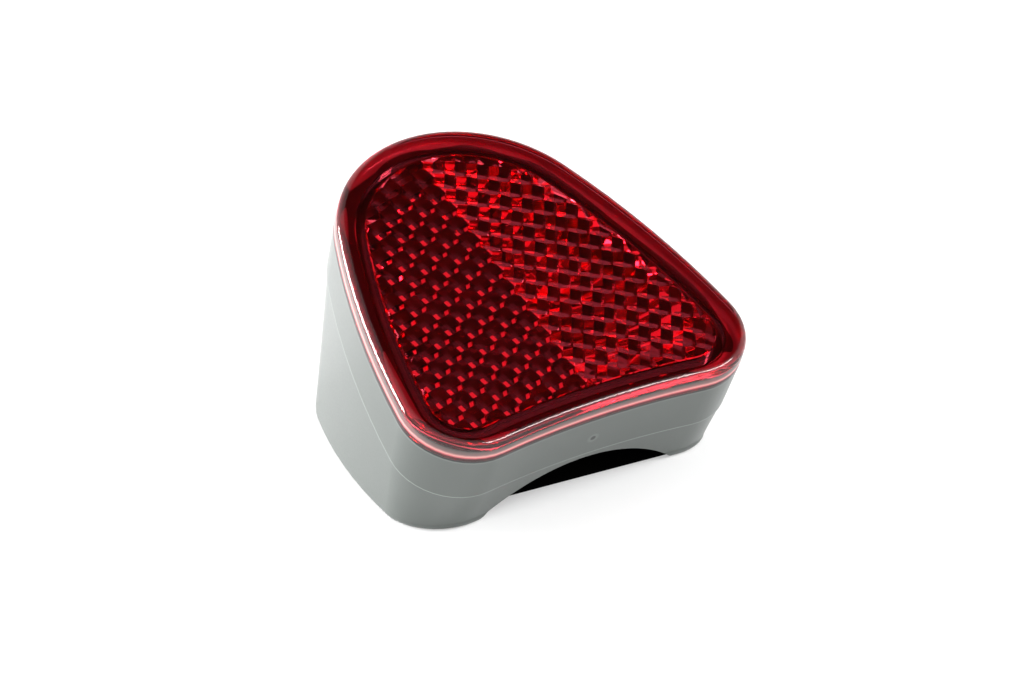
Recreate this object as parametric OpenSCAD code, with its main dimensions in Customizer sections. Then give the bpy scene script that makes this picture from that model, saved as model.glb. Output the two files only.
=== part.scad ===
// Mudguard reflector: a red prism lens welded onto a grey wedge shaped housing.
// The housing sits astride a mudguard and is held by one screw from below.
// X runs across the reflector, Y from its wide end to its narrow end, Z up.
// The origin is where the screw axis meets the plane that the housing stands on.

/* [Lens outline] */
// Width across the two round corners of the wide end
lens_w = 44; // [36:0.5:60]
// Length from the wide end to the top of the narrow end, along the lens
lens_l = 44; // [38:0.5:60]
// Radius of the narrow end
nose_r = 16.5; // [12:0.5:18]
// Radius of the two corners of the wide end
corner_r = 7.6; // [5:0.2:9]
// Radius of the slightly bulged long sides
side_r = 98; // [80:1:200]
// Radius of the shallow hollow in the wide end
hollow_r = 120; // [90:1:250]

/* [Lens section] */
// Height of the lens edge above the joint with the housing
edge_h = 2.6; // [2:0.1:4]
// Radius of the rounded front edge
edge_r = 0.9; // [0.4:0.1:1.5]
// Thickness of the clear plate in front of the prisms
plate_t = 1.8; // [1:0.1:2.2]
// Width of the plain strip between the prism field and the lip of the lens
strip_w = 0.2; // [0:0.1:3]
// Width of the lip under the lens that drops into the housing
lip_w = 0.9; // [0.6:0.1:1.5]
// Depth of that lip below the joint
lip_h = 1; // [0.5:0.1:1.5]
// Play between the lip and the housing
lip_gap = 0.15; // [0.05:0.05:0.3]

/* [Prism field] */
// Distance between neighbouring prisms
prism_pitch = 2.55; // [2:0.05:4]
// Shift of the prism rows along the lens, as a share of the pitch
row_shift = 0.9; // [0:0.05:1]

/* [Housing] */
// Angle between the lens and the plane that the housing stands on
tilt = 28.5; // [15:0.5:32]
// Height of the joint above that plane at the wide end
joint_h = 10.5; // [9:0.5:16]
// Distance from the wide end of the lens to the screw axis, measured along Y
screw_back = 31; // [26:0.5:34]
// Wall thickness
wall = 2.2; // [1.6:0.1:2.6]
// Height of the upper band of the wall, down to the mould line
band_h = 6.6; // [5:0.1:8]
// Taper of the upper band
band_draft = 3.9; // [0:0.1:6]
// Depth of the small step at the mould line
mould_step = 0.12; // [0.05:0.01:0.3]
// Taper of the wall below the mould line
skirt_draft = 7; // [2:0.5:10]
// Radius of the rounded bottom edge
foot_r = 0.9; // [0.5:0.1:1.6]
// Gap between the prism tips and the floor of the chamber behind them
tip_gap = 1.1; // [0.6:0.1:3]
// Thickness of the floor that closes the chamber
floor_t = 1.6; // [1.2:0.1:3]

/* [Saddle and fixing] */
// Radius of the mudguard that the saddle fits
saddle_r = 20.7; // [18:0.1:30]
// Height of the top of the saddle above the standing plane
saddle_h = 4.6; // [3:0.1:6]
// Diameter of the screw boss
boss_d = 13; // [12:0.5:16]
// Clearance hole for the screw
screw_hole_d = 5.4; // [5.2:0.1:6]
// Height of the shoulder under the nut
nut_shoulder = 2.4; // [1.5:0.1:4]
// Nut size across flats
nut_af = 8; // [7:0.5:9]
// Nut height
nut_h = 4; // [3:0.1:5]
// Thread core diameter of the nut
nut_core_d = 4.2; // [4:0.1:4.6]
// Free height above the nut for the end of the screw
screw_relief = 2; // [1:0.5:3]
// Thickness of the two long ribs beside the boss
rib_t = 1.6; // [1:0.1:2.4]
// Distance that the ribs stay back from the saddle
rib_back = 2; // [1:0.5:4]

/* [Hidden] */

// Steps of the four arcs of one half of the outline
NOSE_STEPS = 16;
SIDE_STEPS = 8;
CORNER_STEPS = 12;
HOLLOW_STEPS = 6;
// Steps of a rounded edge
ROUND_STEPS = 6;
// Overlap that makes a cut run clear through a face
CUT = 0.5;

// Centres of the arcs on the lens plane, whose origin is the middle of the lens
nose_v = lens_l / 2 - nose_r;
corner_u = lens_w / 2 - corner_r;
corner_v = corner_r - lens_l / 2;
side_c = side_centre([0, nose_v], side_r - nose_r, [corner_u, corner_v], side_r - corner_r);
hollow_v = corner_v - sqrt(pow(hollow_r + corner_r, 2) - pow(corner_u, 2));

// Place of the lens plane in the part frame
mid_y = lens_l / 2 * cos(tilt) - screw_back;
mid_z = joint_h + lens_l / 2 * sin(tilt) + edge_h * cos(tilt);

// Step of a prism, and the steps over its tip to its low and its high corners
STEP = prism_pitch / sqrt(6);
LOW_STEPS = 1;
HIGH_STEPS = 2;

// Levels below the front face of the lens
field_c = plate_t + HIGH_STEPS * STEP;
chamber_c = field_c + tip_gap;
floor_c = chamber_c + floor_t;
band_c = edge_h + band_h;
rim_w = wall + lip_gap;
field_in = rim_w + lip_w + strip_w;

// Height of the underside of the nut
nut_z = saddle_h + nut_shoulder;

// The outline as points with their outward normals, clockwise from the top of the nose
outline = let (half = right_half(), n = len(half))
    concat(half, [for (k = [n - 2:-1:1]) [-half[k][0], half[k][1], -half[k][2], half[k][3]]]);

// Where two circles round p and q meet, on the left of both
function side_centre(p, rp, q, rq) =
    let (d = norm(q - p), e = (q - p) / d, x = (d * d + rp * rp - rq * rq) / (2 * d))
    p + e * x + [e[1], -e[0]] * sqrt(rp * rp - x * x);

function heading(p, q) = atan2(q[1] - p[1], q[0] - p[0]);

// Points of an arc with outward normals; side is -1 where the centre lies outside
function arc(c, r, from, to, steps, first = 1, side = 1) =
    [for (k = [first:steps]) let (a = from + (to - from) * k / steps, d = [cos(a), sin(a)])
        [c[0] + r * d[0], c[1] + r * d[1], side * d[0], side * d[1]]];

function right_half() =
    let (
        nose = [0, nose_v], corner = [corner_u, corner_v], hollow = [0, hollow_v],
        nose_end = heading(side_c, nose), side_end = heading(side_c, corner),
        corner_end = heading(corner, hollow)
    )
    concat(
        arc(nose, nose_r, 90, nose_end, NOSE_STEPS, 0),
        arc(side_c, side_r, nose_end, side_end, SIDE_STEPS),
        arc(corner, corner_r, side_end, corner_end, CORNER_STEPS),
        arc(hollow, hollow_r, heading(hollow, corner), 90, HOLLOW_STEPS, 1, -1)
    );

// The outline moved inwards by t
function inset(t) = [for (p = outline) [p[0] - t * p[2], p[1] - t * p[3]]];

// From the lens plane, at depth c below its front face, to the part frame
function to_part(u, v, c) = [
    u,
    mid_y + v * cos(tilt) + c * sin(tilt),
    mid_z + v * sin(tilt) - c * cos(tilt)
];

function ring(t, c) = [for (p = inset(t)) to_part(p[0], p[1], c)];

module on_lens_plane() {
    translate([0, mid_y, mid_z]) rotate([tilt, 0, 0]) children();
}

// A slab with the outline moved inwards by t, between two depths below the front face
module slab(t, c_from, c_to) {
    on_lens_plane() translate([0, 0, -c_to]) linear_extrude(c_to - c_from) polygon(inset(t));
}

// A solid through rings of equal count, from the top ring down
module loft(rings) {
    n = len(rings[0]);
    m = len(rings);
    points = [for (r = rings) each r];
    walls = [for (j = [0:m - 2], i = [0:n - 1])
        let (a = j * n + i, b = j * n + (i + 1) % n)
        each [[b, a, a + n], [b, a + n, b + n]]];
    polyhedron(points, concat([[for (i = [0:n - 1]) i]], walls,
        [[for (i = [n - 1:-1:0]) (m - 1) * n + i]]));
}

// One point of the tapering skirt wall, at height z, set inwards by t
function skirt_point(p, t, z) =
    let (
        start_t = t + band_h * tan(band_draft) + mould_step,
        start = to_part(p[0] - start_t * p[2], p[1] - start_t * p[3], band_c),
        end = to_part(p[0] - (start_t + tan(skirt_draft)) * p[2],
            p[1] - (start_t + tan(skirt_draft)) * p[3], band_c + 1),
        s = (start[2] - z) / (start[2] - end[2])
    )
    start + (end - start) * s;

// A point of the skirt at height z, moved inwards on the level by d
function skirt_inwards(p, z, d) =
    let (level = [p[2], p[3] * cos(tilt)], q = skirt_point(p, 0, z))
    [q[0] - d * level[0] / norm(level), q[1] - d * level[1] / norm(level), q[2]];

function skirt_ring(t, z) = [for (p = outline) skirt_point(p, t, z)];

function foot_ring(a) =
    [for (p = outline) let (q = skirt_inwards(p, foot_r, foot_r * (1 - cos(a))))
        [q[0], q[1], foot_r * (1 - sin(a))]];

// Prism field: each prism is the corner of a cube on a hexagonal base, and its tip points
// away from the viewer. Three of its six outer corners lie one step above the tip and the
// other three two steps. The prisms of the left half are turned about, so that the high
// corners of one half are the low ones of the other

HEX_R = prism_pitch / sqrt(3);
// Steps from the tips to the flat top of the block
TOP_STEPS = (field_c - edge_r) / STEP;

// Places on the grid are in half hexagon radii across and half pitches along. These are
// the six corners of a prism, the prisms across its six sides, and the next column
CORNERS = [[2, 0], [1, 1], [-1, 1], [-2, 0], [-1, -1], [1, -1]];
BEYOND = [[3, 1], [0, 2], [-3, 1], [-3, -1], [0, -2], [3, -1]];
COLUMN_STEPS = 3;
HALF_COLS = ceil(lens_w / COLUMN_STEPS / HEX_R);
HALF_ROWS = 2 * ceil(lens_l / 2 / prism_pitch) + 2;

// The point at a place on the grid, h steps above the tips
function grid_point(p, h) = [p[0] * HEX_R / 2, (p[1] / 2 + row_shift) * prism_pitch, h * STEP - field_c];

function corner_point(c, k, h) = grid_point(c + CORNERS[k % 6], h);

function corner_height(c, k) = (k % 2 == 0) == (c[0] > 0) ? HIGH_STEPS : LOW_STEPS;

function beyond(c, k) = c + BEYOND[k % 6];

function has_prism(c) = abs(c[0]) < HALF_COLS * COLUMN_STEPS && abs(c[1]) <= HALF_ROWS;

// Whether side k of the prism at c is shared with a prism of the other half
function at_seam(c, k) = has_prism(beyond(c, k)) && c[0] * beyond(c, k)[0] < 0;

// The middle of side k, where the edges of both halves cross
function middle(c, k) =
    grid_point(c + (CORNERS[k % 6] + CORNERS[(k + 1) % 6]) / 2, (LOW_STEPS + HIGH_STEPS) / 2);

// Side k from corner to corner, with its middle where it lies on the seam
function side(c, k) = concat(
    [corner_point(c, k, corner_height(c, k))],
    at_seam(c, k) ? [middle(c, k)] : [],
    [corner_point(c, k + 1, corner_height(c, k + 1))]
);

// Triangles from the tip to each side
function facets(c) = [for (k = [0:5]) let (edge = side(c, k)) for (n = [1:len(edge) - 1])
    [grid_point(c, 0), edge[n - 1], edge[n]]];

// The upright triangle at the low corner of side k, up to its high corner or its middle
function lower_wall(c, k) =
    let (
        low = corner_height(c, k) == LOW_STEPS ? k : k + 1,
        foot = corner_point(c, low, LOW_STEPS), head = corner_point(c, low, HIGH_STEPS),
        far = at_seam(c, k) ? middle(c, k) : corner_point(c, 2 * k + 1 - low, HIGH_STEPS)
    )
    low == k ? [far, foot, head] : [foot, far, head];

function upper_wall(c, k) = [
    corner_point(c, k, HIGH_STEPS), corner_point(c, k, TOP_STEPS),
    corner_point(c, k + 1, TOP_STEPS), corner_point(c, k + 1, HIGH_STEPS)
];

// Walls at the rim of the block, and the small steps between the edges of both halves
function walls(c) = [for (k = [0:5]) each !has_prism(beyond(c, k))
    ? [lower_wall(c, k), upper_wall(c, k)] : at_seam(c, k) ? [lower_wall(c, k)] : []];

function flat_top(c) = [for (k = [5:-1:0]) corner_point(c, k, TOP_STEPS)];

// All prisms in one closed block with a flat top
module prism_block() {
    places = [for (i = [-HALF_COLS:HALF_COLS - 1], n = [-HALF_ROWS:HALF_ROWS])
        if ((i + n) % 2 == 0) [(i + 0.5) * COLUMN_STEPS, n]];
    skin = [for (c = places) each concat(facets(c), walls(c), [flat_top(c)])];
    starts = running_sum([for (f = skin) len(f)]);
    polyhedron([for (f = skin) each f],
        [for (n = [0:len(skin) - 1]) [for (k = [0:len(skin[n]) - 1]) starts[n] + k]]);
}

function running_sum(v) = [for (k = 0, s = 0; k < len(v); s = s + v[k], k = k + 1) s];

// Sub-parts

module lens() {
    color("crimson") union() {
        difference() {
            plate_and_lip();
            slab(rim_w + lip_w, plate_t, edge_h + lip_h + CUT);
        }
        prism_field();
    }
}

module plate_and_lip() {
    loft(concat(
        [for (k = [0:ROUND_STEPS]) let (a = 90 * k / ROUND_STEPS)
            ring(edge_r * (1 - sin(a)), edge_r * (1 - cos(a)))],
        [ring(0, edge_h)]
    ));
    slab(rim_w, edge_h - CUT, edge_h + lip_h);
}

module prism_field() {
    intersection() {
        on_lens_plane() prism_block();
        slab(field_in, 0, field_c + CUT);
    }
}

module housing() {
    color("gray") difference() {
        union() {
            difference() {
                housing_body();
                housing_hollow();
            }
            intersection() {
                boss_and_ribs();
                housing_body();
            }
        }
        slab(wall, edge_h - CUT, chamber_c);
        saddle(saddle_r, saddle_h);
        screw_bore();
    }
}

module housing_body() {
    loft(concat(
        [ring(0, edge_h), ring(band_h * tan(band_draft), band_c)],
        [ring(band_h * tan(band_draft) + mould_step, band_c)],
        [for (k = [0:ROUND_STEPS]) foot_ring(90 * k / ROUND_STEPS)]
    ));
}

// The open space under the chamber floor
module housing_hollow() {
    loft([
        ring(wall + (floor_c - edge_h) * tan(band_draft), floor_c),
        ring(wall + band_h * tan(band_draft), band_c),
        skirt_ring(wall - mould_step, -CUT)
    ]);
}

module saddle(r, h) {
    translate([0, 0, h - r]) rotate([90, 0, 0]) cylinder(h = 4 * lens_l, r = r, center = true, $fn = 96);
}

module boss_and_ribs() {
    cylinder(h = mid_z, d = boss_d, $fn = 64);
    difference() {
        translate([-rib_t / 2, -2 * lens_l, 0]) cube([rib_t, 4 * lens_l, 2 * mid_z]);
        saddle(saddle_r + rib_back, saddle_h + rib_back);
    }
}

module screw_bore() {
    translate([0, 0, -CUT]) cylinder(h = nut_z + nut_h + screw_relief + CUT, d = screw_hole_d, $fn = 48);
    translate([0, 0, nut_z]) cylinder(h = nut_h, d = nut_af / cos(30), $fn = 6);
}

module fixing_nut() {
    color("silver") difference() {
        translate([0, 0, nut_z]) cylinder(h = nut_h, d = nut_af / cos(30), $fn = 6);
        translate([0, 0, nut_z - CUT]) cylinder(h = nut_h + 2 * CUT, d = nut_core_d, $fn = 48);
    }
}

lens();
housing();
fixing_nut();
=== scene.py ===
"""Mudguard reflector: a red prism lens on a grey wedge housing, in a white studio."""

import math

import bmesh
import bpy
from mathutils import Matrix, Vector


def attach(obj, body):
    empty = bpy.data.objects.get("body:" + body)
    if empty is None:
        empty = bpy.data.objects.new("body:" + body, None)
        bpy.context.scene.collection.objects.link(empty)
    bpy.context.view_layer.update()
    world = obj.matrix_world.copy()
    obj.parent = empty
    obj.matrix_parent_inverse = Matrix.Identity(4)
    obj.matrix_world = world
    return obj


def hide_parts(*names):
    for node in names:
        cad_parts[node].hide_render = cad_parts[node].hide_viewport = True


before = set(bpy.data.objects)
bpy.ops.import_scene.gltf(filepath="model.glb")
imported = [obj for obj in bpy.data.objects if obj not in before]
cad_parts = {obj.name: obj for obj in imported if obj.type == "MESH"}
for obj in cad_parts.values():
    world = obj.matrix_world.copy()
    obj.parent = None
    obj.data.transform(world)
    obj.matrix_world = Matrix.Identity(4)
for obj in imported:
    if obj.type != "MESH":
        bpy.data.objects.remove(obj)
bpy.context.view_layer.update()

# The lens plane, from the part's own sizes, in metres
TILT = math.radians(28.5)
LENS_UP = Vector((0, math.cos(TILT), math.sin(TILT)))
LENS_OUT = Vector((0, -math.sin(TILT), math.cos(TILT)))
LENS_MIDDLE = Vector((0, -0.011666, 0.023283))

# Depths below the lens's front face, and the hair's breadth between lens and rim
ROUNDING_DEPTH = 0.00095
JOINT_DEPTH = 0.0026
CHAMBER_DEPTH = 0.00498
JOINT_GAP = 0.00003

# What counts as the same point, the same level, and just beyond one
SAME_POINT = 1e-6
SAME_LEVEL = 0.0001
JUST_BEYOND = 0.00002

# Angles in degrees up to which faces are one flat face, and below which they shade as one
FLAT_ANGLE = 0.3
LENS_CREASE = 30
HOUSING_CREASE = 28

# Red acrylic: its clouds in cycles a metre, and round its side a matt surface painted with
# reflection and highlight bands, with their colours by depth in millimetres
ACRYLIC_INDEX = 1.49
ACRYLIC_TINT = (1.0, 0.12, 0.18, 1)
ACRYLIC_CLOUDS = 700
ACRYLIC_ROUGHNESS = (0.0, 0.03)
BODY_COLOUR = (0.992, 0.5, 0.58, 1)
BODY_DENSITY = 110
SIDE_PAINT_SHARE = 0.88
SIDE_PAINT_ROUGHNESS = 0.35
SIDE_PAINT_SPAN = (0.8, 2.6)
# Painted bands down the side: a dark painted reflection under the front edge, a grey-pink
# painted reflection, a bright pink painted highlight line, then dark red going to near
# black at the joint
SIDE_PAINTED_COLOURS = (
    (0.9, (0.005, 0.002, 0.002)), (1.15, (0.09, 0.07, 0.066)), (1.6, (0.17, 0.105, 0.1)),
    (1.9, (0.7, 0.32, 0.3)), (2.1, (0.55, 0.09, 0.11)), (2.25, (0.03, 0.001, 0.002)),
)

# Grey moulded plastic: its flow marks and its grain in cycles a metre
PLASTIC_INDEX = 1.55
PLASTIC_GREYS = ((0.067, 0.077, 0.071, 1), (0.086, 0.098, 0.091, 1))
PLASTIC_FLOW = 90
PLASTIC_GRAIN = 3800
PLASTIC_ROUGHNESS = (0.26, 0.34)
GRAIN_HEIGHT = 0.000008
GRAIN_STRENGTH = 0.25
RIM_GREY = (0.17, 0.175, 0.17, 1)
# The chamber behind the lens and the strip on the rim take this dark grey as painted shade
CHAMBER_SHADE_GREY = (0.035, 0.035, 0.035, 1)

# Shades by depth in millimetres: painted shade in the gap at the joint with a painted
# highlight just under it, and a painted highlight along the mould line
LINE_SPAN = (2.5, 9.5)
PAINTED_LINE_SHADES = (
    (2.6, 0.02), (2.87, 0.02), (2.95, 1.6), (3.2, 1.0),
    (9.05, 1.0), (9.12, 2.6), (9.22, 2.6), (9.3, 1.0),
)

# The gate mark in the front wall, with its shades by distance in metres
GATE_MARK = (0, -0.0270, 0.00767)
GATE_SPAN = (0, 0.001)
GATE_SHADES = ((0, 0.1), (0.00026, 0.15), (0.00042, 1.5), (0.0006, 1.4), (0.00085, 1.0))

# Painted shade on the rim: a value runs from the rim's outer edge to 1 at its inner edge,
# and the plastic is painted dark where the value is past the limits. The outer edge's value
# differs between sectors, in degrees counted from the right.
DARK_LIMITS = (0.55, 0.62)
TOP_LEFT_SECTOR = (118, 172)
RIGHT_SECTOR = (-48, 118)
RIM_SHADE_WIDE = 0.42
RIM_SHADE_HALF = 0.0
RIM_SHADE_EDGE = -6.0

# Zinc plated steel: its clouds in cycles a metre
STEEL_TONES = ((0.56, 0.56, 0.54, 1), (0.72, 0.71, 0.68, 1))
STEEL_CLOUDS = 600
STEEL_ROUGHNESS = (0.22, 0.42)

# White paper under the part, and on it a black card that ends inside the footprint: a
# painted shadow under the arch
FLOOR_HALF = 3
FLOOR_GAP = 0.00005
FLOOR_WHITE = 0.4
PAPER_WHITES = ((0.95, 0.95, 0.95, 1), (0.97, 0.97, 0.97, 1))
PAPER_FIBRES = 40
SHADOW_CARD_BLACK = (0.004, 0.004, 0.004, 1)
SHADOW_CARD_HEIGHT = -0.00002
SHADOW_CARD_CORNERS = (
    (0.0135, -0.0218), (0.0165, -0.0205), (0.0178, -0.0185), (0.0182, -0.0155),
    (0.0176, -0.0115), (0.0160, -0.004), (0.0140, 0.002), (0.0126, 0.006), (0.0111, 0.0085),
    (-0.0111, 0.0085), (-0.0126, 0.006), (-0.0140, 0.002), (-0.0160, -0.004),
    (-0.0176, -0.0115), (-0.0180, -0.0165), (-0.0125, -0.0185),
)

# The studio: brightness by how far up a direction points, low and overhead
SKY_LOW = (0.45, 1.25)
SKY_HIGH = (0.9, 0.8)

# A black cloth, by its direction and its angles in degrees, where the lens would mirror
# the ceiling
BLACK_CLOTH = (0.485, 0.098, 0.869)
CLOTH_INNER = 7
CLOTH_OUTER = 18
CLOTH_SHADE = 0.02

# Lamps: name, place, width and height, watts
LAMPS = (
    ("softbox left", (-0.5, 0.6, 0.2), (0.45, 0.3), 14.5),
    ("strip light front", (0.48, -0.57, 0.59), (0.6, 0.2), 6),
)
LAMP_AIM = Vector((0, -0.01, 0.015))

# How often light may turn: in all, and at mirrors or through clear faces
ALL_BOUNCES = 32
CLEAR_BOUNCES = 24

# The camera, fitted to the outlines in the photograph
CAMERA_AT = Vector((-0.322514, -0.532834, 0.274097))
CAMERA_TURN = (66.926, 3.7662, -33.397)
CAMERA_LENS = 206.56
CAMERA_NEAR = 0.05
SENSOR_WIDTH = 36


def depth(co):
    """Depth of a point below the lens's front face, along the lens's normal."""
    return (LENS_MIDDLE - co).dot(LENS_OUT)


def put_in_scene(name, data):
    item = bpy.data.objects.new(name, data)
    bpy.context.scene.collection.objects.link(item)
    return item


def object_from(name, bm):
    """A new object with the finished bmesh's shape."""
    mesh = bpy.data.meshes.new(name)
    bm.to_mesh(mesh)
    bm.free()
    return put_in_scene(name, mesh)


def merged_copy(node, name, crease):
    """A CAD node's shape with whole faces, smooth up to the crease angle in degrees."""
    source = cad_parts[node].data
    bm = bmesh.new()
    for v in source.vertices:
        bm.verts.new(v.co)
    bm.verts.ensure_lookup_table()
    for polygon in source.polygons:
        bm.faces.new([bm.verts[k] for k in polygon.vertices])
    bmesh.ops.remove_doubles(bm, verts=bm.verts, dist=SAME_POINT)
    bmesh.ops.dissolve_limit(
        bm, angle_limit=math.radians(FLAT_ANGLE), use_dissolve_boundaries=False,
        verts=bm.verts, edges=bm.edges, delimit=set(),
    )
    bmesh.ops.recalc_face_normals(bm, faces=bm.faces)
    for face in bm.faces:
        face.smooth = True
    for edge in bm.edges:
        edge.smooth = edge.calc_face_angle(math.pi) < math.radians(crease)
    piece = object_from(name, bm)
    weighted = piece.modifiers.new("flat faces stay flat", "WEIGHTED_NORMAL")
    weighted.mode = "FACE_AREA"
    weighted.weight = 50
    weighted.keep_sharp = True
    return piece


def new_material(name):
    material = bpy.data.materials.new(name)
    material.use_nodes = True
    tree = material.node_tree
    tree.nodes.clear()
    return material, tree, tree.nodes.new("ShaderNodeOutputMaterial")


def add(tree, kind, **settings):
    """A node with its sockets and its properties set by name."""
    node = tree.nodes.new(kind)
    for key, value in settings.items():
        if key in node.inputs:
            node.inputs[key].default_value = value
        else:
            setattr(node, key, value)
    return node


def link(tree, source, target):
    tree.links.new(source, target)


def pattern(tree, scale, detail=4.0):
    """Noise in the piece's own frame, with its scale in cycles a metre."""
    place = tree.nodes.new("ShaderNodeTexCoord")
    noise = add(tree, "ShaderNodeTexNoise", Scale=scale, Detail=detail)
    link(tree, place.outputs["Object"], noise.inputs["Vector"])
    return noise.outputs["Fac"]


def mark_here(tree, name):
    """The value that the mesh carries under this name."""
    return add(tree, "ShaderNodeAttribute", attribute_name=name).outputs["Fac"]


def depth_here(tree):
    """Depth below the lens's front face, in millimetres."""
    place = tree.nodes.new("ShaderNodeTexCoord")
    offset = add(tree, "ShaderNodeVectorMath", operation="SUBTRACT")
    offset.inputs[1].default_value = LENS_MIDDLE
    along = add(tree, "ShaderNodeVectorMath", operation="DOT_PRODUCT")
    along.inputs[1].default_value = LENS_OUT * -1000
    link(tree, place.outputs["Object"], offset.inputs[0])
    link(tree, offset.outputs["Vector"], along.inputs[0])
    return along.outputs["Value"]


def distance_here(tree, point):
    """Distance from a point, in metres."""
    place = tree.nodes.new("ShaderNodeTexCoord")
    away = add(tree, "ShaderNodeVectorMath", operation="DISTANCE")
    away.inputs[1].default_value = point
    link(tree, place.outputs["Object"], away.inputs[0])
    return away.outputs["Value"]


def share_of(tree, value, start, end):
    """Where a value stands between the start and the end, from 0 to 1."""
    span = add(tree, "ShaderNodeMapRange")
    span.inputs["From Min"].default_value = start
    span.inputs["From Max"].default_value = end
    link(tree, value, span.inputs["Value"])
    return span.outputs["Result"]


def between(tree, factor, low, high):
    """A value that runs from low to high with the factor."""
    span = add(tree, "ShaderNodeMapRange")
    span.inputs["To Min"].default_value = low
    span.inputs["To Max"].default_value = high
    link(tree, factor, span.inputs["Value"])
    return span.outputs["Result"]


def two_tones(tree, factor, first, second):
    """A colour that runs from the first to the second with the factor."""
    tone = add(tree, "ShaderNodeMix", data_type="RGBA")
    tone.inputs["A"].default_value = first
    tone.inputs["B"].default_value = second
    link(tree, factor, tone.inputs["Factor"])
    return tone.outputs["Result"]


def colours_by(tree, factor, span, stops):
    """Colours, or shades of grey, at given values of the factor inside a span."""
    start, end = span
    ramp = tree.nodes.new("ShaderNodeValToRGB")
    elements = ramp.color_ramp.elements
    while len(elements) < len(stops):
        elements.new(0.5)
    for element, (value, colour) in zip(elements, stops):
        element.position = (value - start) / (end - start)
        rgb = colour if isinstance(colour, tuple) else (colour, colour, colour)
        element.color = (*rgb, 1)
    link(tree, share_of(tree, factor, start, end), ramp.inputs["Fac"])
    return ramp.outputs["Color"]


def shaded(tree, colour, shade):
    """A colour times a shade."""
    product = add(tree, "ShaderNodeMix", data_type="RGBA", blend_type="MULTIPLY")
    product.inputs["Factor"].default_value = 1
    link(tree, colour, product.inputs["A"])
    link(tree, shade, product.inputs["B"])
    return product.outputs["Result"]


def relief(tree, factor, height, strength):
    bump = add(tree, "ShaderNodeBump", Strength=strength, Distance=height)
    link(tree, factor, bump.inputs["Height"])
    return bump.outputs["Normal"]


def two_surfaces(tree, factor, first, second):
    """A surface that runs from the first to the second with the factor."""
    surface = tree.nodes.new("ShaderNodeMixShader")
    link(tree, factor, surface.inputs["Fac"])
    link(tree, first.outputs[0], surface.inputs[1])
    link(tree, second.outputs[0], surface.inputs[2])
    return surface.outputs[0]


def red_acrylic():
    """Clear red acrylic, polished in front, with painted reflection and highlight bands
    round its side.
    """
    material, tree, out = new_material("red acrylic")
    clear = add(tree, "ShaderNodeBsdfPrincipled")
    clear.inputs["Base Color"].default_value = ACRYLIC_TINT
    clear.inputs["IOR"].default_value = ACRYLIC_INDEX
    clear.inputs["Transmission Weight"].default_value = 1
    clouds = pattern(tree, ACRYLIC_CLOUDS)
    link(tree, between(tree, clouds, *ACRYLIC_ROUGHNESS), clear.inputs["Roughness"])
    painted_side = add(tree, "ShaderNodeBsdfPrincipled", Roughness=SIDE_PAINT_ROUGHNESS)
    # The side's colours are painted reflection and highlight, by depth
    side_colours = colours_by(tree, depth_here(tree), SIDE_PAINT_SPAN, SIDE_PAINTED_COLOURS)
    link(tree, side_colours, painted_side.inputs["Base Color"])
    amount = add(tree, "ShaderNodeMath", operation="MULTIPLY")
    amount.inputs[1].default_value = SIDE_PAINT_SHARE
    link(tree, mark_here(tree, "side"), amount.inputs[0])
    surface = two_surfaces(tree, amount.outputs[0], clear, painted_side)
    link(tree, surface, out.inputs["Surface"])
    body = add(tree, "ShaderNodeVolumeAbsorption", Color=BODY_COLOUR, Density=BODY_DENSITY)
    link(tree, body.outputs[0], out.inputs["Volume"])
    return material


def housing_plastic():
    """Grey moulded plastic, with painted shade in the chamber and in a strip on the rim."""
    material, tree, out = new_material("grey moulded plastic")
    skin = add(tree, "ShaderNodeBsdfPrincipled")
    skin.inputs["IOR"].default_value = PLASTIC_INDEX
    grey = two_tones(tree, pattern(tree, PLASTIC_FLOW, 2.0), *PLASTIC_GREYS)
    # Painted shade at the joint, and painted highlights just under it and along the mould
    # line
    painted_lines = colours_by(tree, depth_here(tree), LINE_SPAN, PAINTED_LINE_SHADES)
    gate = colours_by(tree, distance_here(tree, GATE_MARK), GATE_SPAN, GATE_SHADES)
    rim = add(tree, "ShaderNodeMix", data_type="RGBA")
    rim.inputs["B"].default_value = RIM_GREY
    link(tree, mark_here(tree, "rim"), rim.inputs["Factor"])
    link(tree, shaded(tree, shaded(tree, grey, painted_lines), gate), rim.inputs["A"])
    link(tree, rim.outputs["Result"], skin.inputs["Base Color"])
    grain = pattern(tree, PLASTIC_GRAIN)
    link(tree, between(tree, grain, *PLASTIC_ROUGHNESS), skin.inputs["Roughness"])
    link(tree, relief(tree, grain, GRAIN_HEIGHT, GRAIN_STRENGTH), skin.inputs["Normal"])
    # Painted shade: a dark diffuse grey in the chamber and on the rim's inner strip
    painted_shade = add(tree, "ShaderNodeBsdfDiffuse", Color=CHAMBER_SHADE_GREY)
    where = share_of(tree, mark_here(tree, "chamber"), *DARK_LIMITS)
    link(tree, two_surfaces(tree, where, skin, painted_shade), out.inputs["Surface"])
    return material


def nut_steel():
    """Zinc plated steel with a slight cloudiness."""
    material, tree, out = new_material("zinc plated steel")
    skin = add(tree, "ShaderNodeBsdfPrincipled")
    skin.inputs["Metallic"].default_value = 1
    clouds = pattern(tree, STEEL_CLOUDS)
    link(tree, two_tones(tree, clouds, *STEEL_TONES), skin.inputs["Base Color"])
    link(tree, between(tree, clouds, *STEEL_ROUGHNESS), skin.inputs["Roughness"])
    link(tree, skin.outputs[0], out.inputs["Surface"])
    return material


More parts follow.
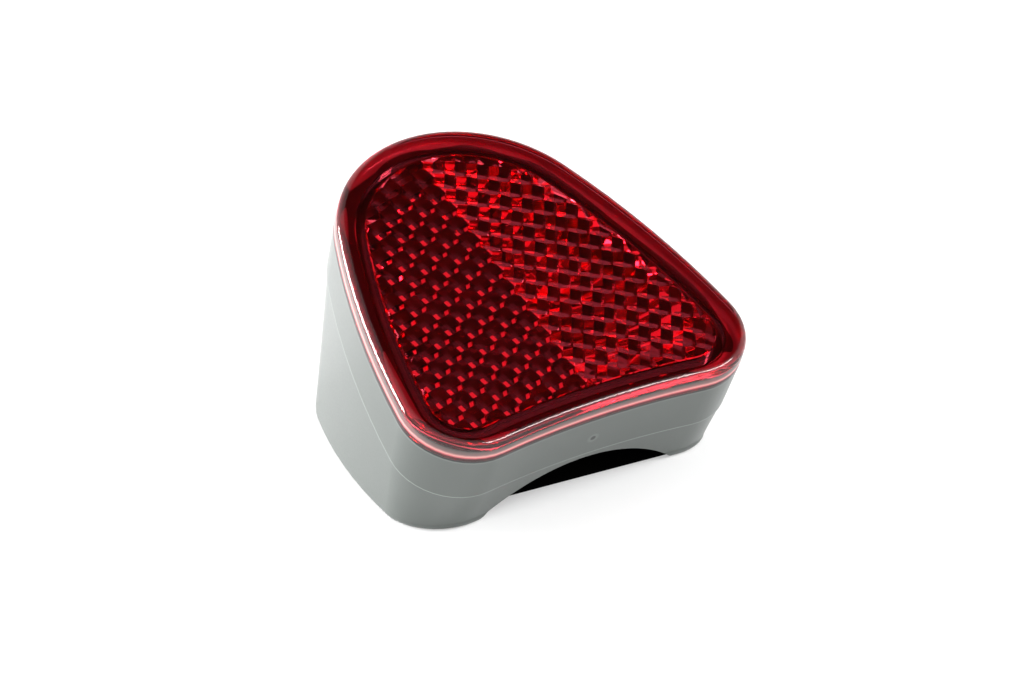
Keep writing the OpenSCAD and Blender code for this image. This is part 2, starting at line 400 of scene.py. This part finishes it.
def white_paper():
    """Paper that shows partly as plain white to the camera, and fully through the lens."""
    material, tree, out = new_material("white paper")
    paper = add(tree, "ShaderNodeBsdfDiffuse")
    fibres = pattern(tree, PAPER_FIBRES, 2.0)
    link(tree, two_tones(tree, fibres, *PAPER_WHITES), paper.inputs["Color"])
    plain = add(tree, "ShaderNodeEmission", Color=(1, 1, 1, 1), Strength=1)
    ray = tree.nodes.new("ShaderNodeLightPath")
    amount = add(tree, "ShaderNodeMath", operation="MAXIMUM")
    to_camera = between(tree, ray.outputs["Is Camera Ray"], 0.0, FLOOR_WHITE)
    link(tree, to_camera, amount.inputs[0])
    link(tree, ray.outputs["Is Transmission Ray"], amount.inputs[1])
    surface = two_surfaces(tree, amount.outputs[0], paper, plain)
    link(tree, surface, out.inputs["Surface"])
    return material


def shadow_card_material():
    material, tree, out = new_material("painted shadow card")
    # Painted shadow: a near black sheet under the arch
    shadow = add(tree, "ShaderNodeBsdfDiffuse", Color=SHADOW_CARD_BLACK)
    link(tree, shadow.outputs[0], out.inputs["Surface"])
    return material


def mark_side(mesh):
    """Mark the faces of the lens's outer side, between its front edge and the joint."""
    side = mesh.attributes.new("side", "FLOAT", "FACE")
    for face in mesh.polygons:
        shallowest = min(depth(mesh.vertices[k].co) for k in face.vertices)
        upright = abs(face.normal.dot(LENS_OUT)) < 0.05
        side.data[face.index].value = float(upright and shallowest < ROUNDING_DEPTH)


def rim_painted_shade(offset):
    """How far the rim's painted shade reaches toward its outer edge: most at the top left,
    least in front.
    """
    turn = math.degrees(math.atan2(offset.dot(LENS_UP), offset.x))
    if TOP_LEFT_SECTOR[0] < turn < TOP_LEFT_SECTOR[1]:
        return RIM_SHADE_WIDE
    return RIM_SHADE_HALF if RIGHT_SECTOR[0] < turn <= RIGHT_SECTOR[1] else RIM_SHADE_EDGE


def is_rim(face):
    """Whether a face is on top of the housing's rim."""
    level = abs(depth(face.center) - JOINT_DEPTH) < SAME_LEVEL
    return level and face.normal.dot(LENS_OUT) > 0.99


def is_chamber(face):
    """Whether a face is the floor or a wall of the chamber behind the lens."""
    offset = face.center - LENS_MIDDLE
    outward = face.normal.x * offset.x + face.normal.dot(LENS_UP) * offset.dot(LENS_UP)
    behind = JOINT_DEPTH + SAME_LEVEL < depth(face.center) < CHAMBER_DEPTH + JUST_BEYOND
    return behind and (face.normal.dot(LENS_OUT) > 0.9 or outward < 0)


def mark_chamber(mesh):
    """Mark the rim's top by its faces, and the painted shade of the rim's strip and of the
    chamber by their points.
    """
    rim = mesh.attributes.new("rim", "FLOAT", "FACE")
    for face in mesh.polygons:
        rim.data[face.index].value = float(is_rim(face))
    chamber = mesh.attributes.new("chamber", "FLOAT", "POINT")
    for face in filter(is_rim, mesh.polygons):
        for k in face.vertices:
            chamber.data[k].value = rim_painted_shade(mesh.vertices[k].co - LENS_MIDDLE)
    for face in filter(is_chamber, mesh.polygons):
        for k in face.vertices:
            chamber.data[k].value = 1.0


def make_lens():
    lens = merged_copy("lens", "lens_body", LENS_CREASE)
    # The joint face of the lens stands clear of the housing's rim by a hair
    for v in lens.data.vertices:
        if abs(depth(v.co) - JOINT_DEPTH) < SAME_POINT:
            v.co += LENS_OUT * JOINT_GAP
    mark_side(lens.data)
    lens.data.materials.append(red_acrylic())
    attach(lens, "root")
    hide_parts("lens")


def make_housing():
    housing = merged_copy("housing", "housing_body", HOUSING_CREASE)
    mark_chamber(housing.data)
    housing.data.materials.append(housing_plastic())
    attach(housing, "root")
    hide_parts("housing")


def finish_nut():
    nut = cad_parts["fixing_nut"]
    nut.data.materials.clear()
    nut.data.materials.append(nut_steel())


def make_floor():
    """White studio paper under the part."""
    bm = bmesh.new()
    bmesh.ops.create_grid(bm, x_segments=1, y_segments=1, size=FLOOR_HALF)
    bmesh.ops.translate(bm, verts=bm.verts, vec=(0, 0, -FLOOR_GAP))
    floor = object_from("floor", bm)
    floor.data.materials.append(white_paper())


def make_shadow_card():
    """A black card under the part: a painted shadow that stands for the dark under the
    arch.
    """
    bm = bmesh.new()
    bm.faces.new([bm.verts.new((x, y, SHADOW_CARD_HEIGHT)) for x, y in SHADOW_CARD_CORNERS])
    card = object_from("painted shadow card", bm)
    card.data.materials.append(shadow_card_material())


def make_world():
    """Bright all round, a little darker overhead, and black where the lens mirrors it."""
    world = bpy.data.worlds.new("studio")
    world.use_nodes = True
    tree = world.node_tree
    tree.nodes.clear()
    out = tree.nodes.new("ShaderNodeOutputWorld")
    place = tree.nodes.new("ShaderNodeTexCoord")
    parts = tree.nodes.new("ShaderNodeSeparateXYZ")
    ramp = tree.nodes.new("ShaderNodeValToRGB")
    ramp.color_ramp.interpolation = "EASE"
    for element, (height, brightness) in zip(ramp.color_ramp.elements, (SKY_LOW, SKY_HIGH)):
        element.position = height
        element.color = (brightness, brightness, brightness, 1)
    toward = add(tree, "ShaderNodeVectorMath", operation="DOT_PRODUCT")
    toward.inputs[1].default_value = BLACK_CLOTH
    cloth = add(tree, "ShaderNodeMapRange", interpolation_type="SMOOTHSTEP")
    cloth.inputs["From Min"].default_value = math.cos(math.radians(CLOTH_OUTER))
    cloth.inputs["From Max"].default_value = math.cos(math.radians(CLOTH_INNER))
    cloth.inputs["To Min"].default_value = 1.0
    cloth.inputs["To Max"].default_value = CLOTH_SHADE
    sky = add(tree, "ShaderNodeBackground")
    link(tree, place.outputs["Generated"], parts.inputs[0])
    link(tree, place.outputs["Generated"], toward.inputs[0])
    link(tree, parts.outputs["Z"], ramp.inputs[0])
    link(tree, ramp.outputs[0], sky.inputs["Color"])
    link(tree, toward.outputs["Value"], cloth.inputs["Value"])
    link(tree, cloth.outputs["Result"], sky.inputs["Strength"])
    link(tree, sky.outputs[0], out.inputs["Surface"])
    bpy.context.scene.world = world


def softbox(name, place, size, watts):
    lamp = bpy.data.lights.new(name, "AREA")
    lamp.shape = "RECTANGLE"
    lamp.size, lamp.size_y = size
    lamp.energy = watts
    box = put_in_scene(name, lamp)
    way = (LAMP_AIM - Vector(place)).to_track_quat("-Z", "Y")
    box.matrix_world = Matrix.Translation(Vector(place)) @ way.to_matrix().to_4x4()


def make_camera():
    data = bpy.data.cameras.new("camera")
    data.sensor_width = SENSOR_WIDTH
    data.lens = CAMERA_LENS
    data.clip_start = CAMERA_NEAR
    camera = put_in_scene("camera", data)
    camera.location = CAMERA_AT
    camera.rotation_euler = [math.radians(a) for a in CAMERA_TURN]
    bpy.context.scene.camera = camera


def deep_light():
    """Let light pass many prism faces before it leaves the lens."""
    cycles = bpy.context.scene.cycles
    cycles.max_bounces = ALL_BOUNCES
    cycles.glossy_bounces = CLEAR_BOUNCES
    cycles.transmission_bounces = CLEAR_BOUNCES
    cycles.blur_glossy = 0


make_camera()
make_world()
make_floor()
make_shadow_card()
for lamp in LAMPS:
    softbox(*lamp)
make_lens()
make_housing()
finish_nut()
deep_light()
bpy.context.scene.view_settings.view_transform = "Standard"
